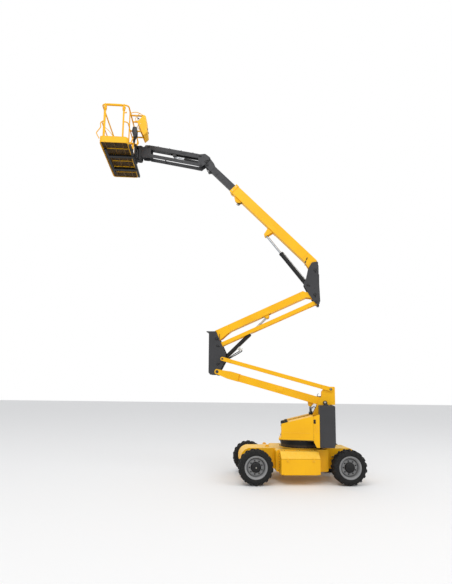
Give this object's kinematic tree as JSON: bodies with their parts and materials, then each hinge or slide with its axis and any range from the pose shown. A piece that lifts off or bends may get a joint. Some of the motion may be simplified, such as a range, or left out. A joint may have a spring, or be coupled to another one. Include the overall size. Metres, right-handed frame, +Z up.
{
  "type": "articulating boom lift",
  "caption": "Articulating boom lift: a four-wheel chassis, a slewing turret, two stacked levelled arms, a telescopic boom, a jib and a turning work basket.",
  "frame": {"origin": "on the ground under the slewing axis", "axes": "+Z up; -X is the front of the chassis, the way the boom leans; +Y is the side away from the picture's viewer"},
  "size_m": [6.6908, 2.8401, 9.8185],
  "materials": {
    "black": "satin",
    "chrome": "polished",
    "dark_grey": "satin",
    "rim_grey": "satin",
    "steel": "satin",
    "tyre": "matte",
    "yellow": "gloss"
  },
  "bodies": {
    "chassis": {"chassis_frame": "yellow", "battery_locker_near": "yellow", "battery_locker_far": "yellow", "front_axle": "black", "rear_axle": "black", "slew_ring": "steel"},
    "steer_near": {"steering_knuckle_near": "black"},
    "steer_far": {"steering_knuckle_far": "black"},
    "tie_rod": {"tie_rod": "black"},
    "turret": {"turntable": "black", "mast": "yellow", "counterweight": "dark_grey", "side_pillars": "yellow", "power_units": "black"},
    "cover_near": {"cover_near": "yellow"},
    "cover_far": {"cover_far": "yellow"},
    "basket": {"basket_yoke": "dark_grey", "basket_floor": "yellow", "basket_rails": "yellow", "control_console": "yellow"},
    "wheel_front_near": {"tyre_front_near": "tyre", "rim_front_near": "rim_grey"},
    "wheel_front_far": {"tyre_front_far": "tyre", "rim_front_far": "rim_grey"},
    "wheel_rear_near": {"tyre_rear_near": "tyre", "rim_rear_near": "rim_grey"},
    "wheel_rear_far": {"tyre_rear_far": "tyre", "rim_rear_far": "rim_grey"},
    "lower_arm": {"lower_arm": "yellow"},
    "lower_tie": {"lower_tie": "yellow"},
    "lower_lift_barrel": {"lower_lift_barrel": "black"},
    "lower_lift_rod": {"lower_lift_rod": "chrome"},
    "middle_knuckle": {"middle_knuckle": "dark_grey"},
    "upper_arm": {"upper_arm": "yellow"},
    "upper_tie": {"upper_tie": "yellow"},
    "arm_lift_barrel": {"arm_lift_barrel": "black"},
    "arm_lift_rod": {"arm_lift_rod": "chrome"},
    "upper_knuckle": {"upper_knuckle": "dark_grey"},
    "main_boom": {"main_boom": "yellow"},
    "boom_lift_barrel": {"boom_lift_barrel": "black"},
    "boom_lift_rod": {"boom_lift_rod": "chrome"},
    "boom_extension": {"boom_extension": "dark_grey"},
    "level_knuckle": {"level_knuckle": "dark_grey"},
    "jib_beam": {"jib_beam": "dark_grey"},
    "jib_links": {"jib_links": "dark_grey"},
    "jib_lift_barrel": {"jib_lift_barrel": "black"},
    "jib_lift_rod": {"jib_lift_rod": "chrome"},
    "jib_end_bracket": {"jib_end_bracket": "dark_grey"},
    "entry_bar": {"entry_bar": "yellow"}
  },
  "joints": [
    {"name": "steer_near", "type": "hinge", "parent": "chassis", "child": "steer_near", "pos_m": [-1.2, -0.56, 0.4], "axis": [0, 0, 1], "range_deg": [-30, 30]},
    {"name": "steer_far", "type": "hinge", "parent": "chassis", "child": "steer_far", "pos_m": [-1.2, 0.56, 0.4], "axis": [0, 0, 1], "range_deg": [-30.02, 30.02]},
    {"name": "tie_rod_turn", "type": "hinge", "parent": "steer_near", "child": "tie_rod", "pos_m": [-1.01, -0.56, 0], "axis": [0, 0, 1], "range_deg": [-30.02, 30.02]},
    {"name": "wheel_front_near_spin", "type": "hinge", "parent": "steer_near", "child": "wheel_front_near", "pos_m": [-1.2, -0.76, 0.4], "axis": [0, 1, 0], "continuous": true},
    {"name": "wheel_front_far_spin", "type": "hinge", "parent": "steer_far", "child": "wheel_front_far", "pos_m": [-1.2, 0.76, 0.4], "axis": [0, 1, 0], "continuous": true},
    {"name": "wheel_rear_near_spin", "type": "hinge", "parent": "chassis", "child": "wheel_rear_near", "pos_m": [0.95, -0.76, 0.4], "axis": [0, 1, 0], "continuous": true},
    {"name": "wheel_rear_far_spin", "type": "hinge", "parent": "chassis", "child": "wheel_rear_far", "pos_m": [0.95, 0.76, 0.4], "axis": [0, 1, 0], "continuous": true},
    {"name": "slew", "type": "hinge", "parent": "chassis", "child": "turret", "pos_m": [0, 0, 0.85], "axis": [0, 0, 1], "range_deg": [-162, 188]},
    {"name": "cover_near_hinge", "type": "hinge", "parent": "turret", "child": "cover_near", "pos_m": [-0.03982, -0.17246, 1.534], "axis": [-0.9744, 0.225, 0], "range_deg": [0, 70]},
    {"name": "cover_far_hinge", "type": "hinge", "parent": "turret", "child": "cover_far", "pos_m": [0.03982, 0.17246, 1.534], "axis": [0.9744, -0.225, 0], "range_deg": [0, 70]},
    {"name": "lower_arm_raise", "type": "hinge", "parent": "turret", "child": "lower_arm", "pos_m": [0.60411, -0.13947, 1.84], "axis": [0.225, 0.9744, 0], "range_deg": [-15.4, 49.6]},
    {"name": "lower_tie_raise", "type": "hinge", "parent": "turret", "child": "lower_tie", "pos_m": [0.74052, -0.17096, 2.17], "axis": [0.225, 0.9744, 0], "range_deg": [-15.42, 49.62]},
    {"name": "lower_lift_swing", "type": "hinge", "parent": "turret", "child": "lower_lift_barrel", "pos_m": [0.32154, -0.07423, 1.05], "axis": [0.225, 0.9744, 0], "range_deg": [-1.38, 4.39]},
    {"name": "lower_lift_stroke", "type": "slide", "parent": "lower_lift_barrel", "child": "lower_lift_rod", "axis": [-0.09, 0.0208, 0.9957], "range_m": [-0.09477, 0.30413]},
    {"name": "middle_knuckle_level", "type": "hinge", "parent": "lower_arm", "child": "middle_knuckle", "pos_m": [-2.03556, 0.46995, 2.58621], "axis": [0.225, 0.9744, 0], "range_deg": [-49.62, 15.42]},
    {"name": "upper_arm_raise", "type": "hinge", "parent": "middle_knuckle", "child": "upper_arm", "pos_m": [-2.06967, 0.47782, 3.44921], "axis": [-0.225, -0.9744, 0], "range_deg": [-19.7, 31.3]},
    {"name": "upper_tie_raise", "type": "hinge", "parent": "middle_knuckle", "child": "upper_tie", "pos_m": [-2.04044, 0.47107, 3.26121], "axis": [-0.225, -0.9744, 0], "range_deg": [-19.72, 31.32]},
    {"name": "arm_lift_swing", "type": "hinge", "parent": "middle_knuckle", "child": "arm_lift_barrel", "pos_m": [-2.03069, 0.46882, 2.78121], "axis": [-0.225, -0.9744, 0], "range_deg": [-14.7, 23.34]},
    {"name": "arm_lift_stroke", "type": "slide", "parent": "arm_lift_barrel", "child": "arm_lift_rod", "axis": [0.7008, -0.1618, 0.6948], "range_m": [-0.16104, 0.25558]},
    {"name": "upper_knuckle_level", "type": "hinge", "parent": "upper_arm", "child": "upper_knuckle", "pos_m": [0.40617, -0.09377, 4.56462], "axis": [-0.225, -0.9744, 0], "range_deg": [-31.32, 19.72]},
    {"name": "boom_raise", "type": "hinge", "parent": "upper_knuckle", "child": "main_boom", "pos_m": [0.42079, -0.09715, 5.20862], "axis": [0.225, 0.9744, 0], "range_deg": [-46.5, 28.5]},
    {"name": "boom_lift_swing", "type": "hinge", "parent": "upper_knuckle", "child": "boom_lift_barrel", "pos_m": [0.23761, -0.05486, 4.81862], "axis": [0.225, 0.9744, 0], "range_deg": [-42.99, 26.35]},
    {"name": "boom_lift_stroke", "type": "slide", "parent": "boom_lift_barrel", "child": "boom_lift_rod", "axis": [-0.5853, 0.1351, 0.7995], "range_m": [-0.31094, 0.19077]},
    {"name": "boom_extend", "type": "slide", "parent": "main_boom", "child": "boom_extension", "axis": [-0.6707, 0.1548, 0.7254], "range_m": [-0.6, 0.5]},
    {"name": "level_knuckle_level", "type": "hinge", "parent": "boom_extension", "child": "level_knuckle", "pos_m": [-2.44664, 0.56485, 8.46663], "axis": [0.225, 0.9744, 0], "range_deg": [-28.52, 46.52]},
    {"name": "jib_raise", "type": "hinge", "parent": "level_knuckle", "child": "jib_beam", "pos_m": [-2.62397, 0.60579, 8.65263], "axis": [0.225, 0.9744, 0], "range_deg": [-70.5, 39.5]},
    {"name": "jib_links_raise", "type": "hinge", "parent": "level_knuckle", "child": "jib_links", "pos_m": [-2.61423, 0.60354, 8.36763], "axis": [0.225, 0.9744, 0], "range_deg": [-70.52, 39.52]},
    {"name": "jib_lift_swing", "type": "hinge", "parent": "level_knuckle", "child": "jib_lift_barrel", "pos_m": [-2.61423, 0.60354, 8.49263], "axis": [0.225, 0.9744, 0], "range_deg": [-69.16, 38.76]},
    {"name": "jib_lift_stroke", "type": "slide", "parent": "jib_lift_barrel", "child": "jib_lift_rod", "axis": [-0.9281, 0.2143, 0.3044], "range_m": [-0.17047, 0.09573]},
    {"name": "jib_end_level", "type": "hinge", "parent": "jib_beam", "child": "jib_end_bracket", "pos_m": [-4.08871, 0.94395, 9.06952], "axis": [0.225, 0.9744, 0], "range_deg": [-39.52, 70.52]},
    {"name": "basket_turn", "type": "hinge", "parent": "jib_end_bracket", "child": "basket", "pos_m": [-4.38784, 1.01301, 8.71252], "axis": [0, 0, 1], "range_deg": [-98, 72]},
    {"name": "entry_bar_drop", "type": "slide", "parent": "basket", "child": "entry_bar", "axis": [0, 0, -1], "range_m": [0, 0.33]}
  ],
  "couplings": [
    {"joint": "steer_far", "follows": "steer_near", "ratio": 1},
    {"joint": "tie_rod_turn", "follows": "steer_near", "ratio": -1},
    {"joint": "lower_tie_raise", "follows": "lower_arm_raise", "ratio": 1},
    {"joint": "lower_lift_swing", "follows": "lower_arm_raise", "ratio": 0.088034},
    {"joint": "lower_lift_stroke", "follows": "lower_arm_raise", "m_per_rad": 0.35074},
    {"joint": "middle_knuckle_level", "follows": "lower_arm_raise", "ratio": -1},
    {"joint": "upper_tie_raise", "follows": "upper_arm_raise", "ratio": 1},
    {"joint": "arm_lift_swing", "follows": "upper_arm_raise", "ratio": 0.74499},
    {"joint": "arm_lift_stroke", "follows": "upper_arm_raise", "m_per_rad": 0.46692},
    {"joint": "upper_knuckle_level", "follows": "upper_arm_raise", "ratio": -1},
    {"joint": "boom_lift_swing", "follows": "boom_raise", "ratio": 0.92401},
    {"joint": "boom_lift_stroke", "follows": "boom_raise", "m_per_rad": 0.38252},
    {"joint": "level_knuckle_level", "follows": "boom_raise", "ratio": -1},
    {"joint": "jib_links_raise", "follows": "jib_raise", "ratio": 1},
    {"joint": "jib_lift_swing", "follows": "jib_raise", "ratio": 0.98074},
    {"joint": "jib_lift_stroke", "follows": "jib_raise", "m_per_rad": 0.13814},
    {"joint": "jib_end_level", "follows": "jib_raise", "ratio": -1}
  ]
}
